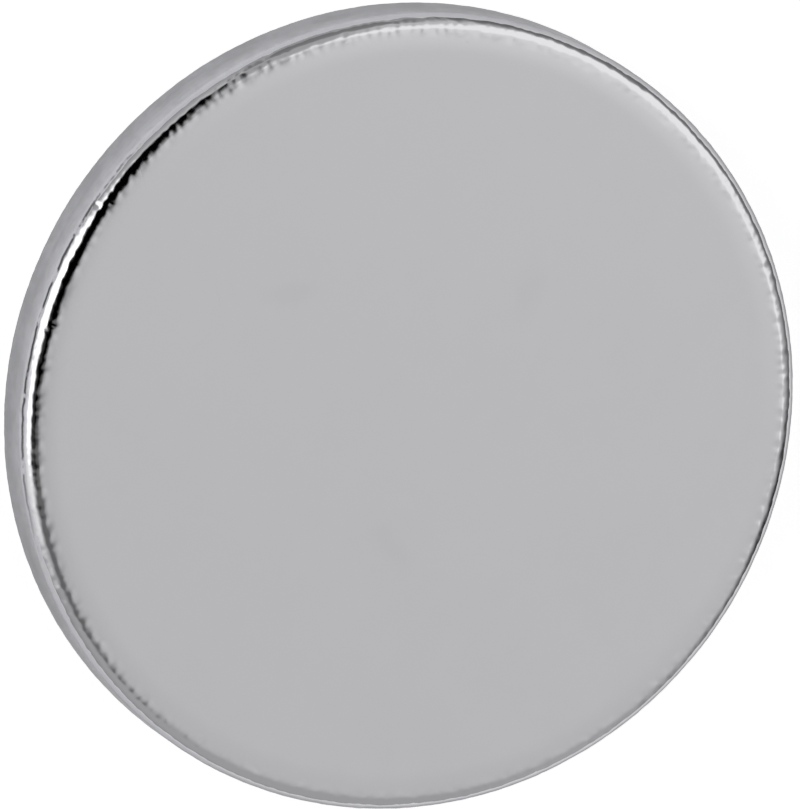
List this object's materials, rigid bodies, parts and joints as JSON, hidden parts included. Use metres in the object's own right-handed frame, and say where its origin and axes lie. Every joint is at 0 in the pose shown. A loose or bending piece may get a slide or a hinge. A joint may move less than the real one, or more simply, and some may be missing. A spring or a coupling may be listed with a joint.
{
  "type": "disc magnet",
  "caption": "Thin round disc magnet with two flat pole faces, a plain rim wall and tumbled edges, nickel plated all over.",
  "frame": {"origin": "centre of the lower pole face, on the surface that the disc lies on", "axes": "+Z along the disc's axis, out of the upper pole face; X and Y lie in the pole face, and all directions there are alike"},
  "size_m": [0.02, 0.02, 0.002],
  "materials": {
    "nickel_plating": "bright nickel plating, dulled to a fine satin by tumbling"
  },
  "bodies": {
    "root": {"magnet": "nickel_plating"}
  },
  "joints": []
}
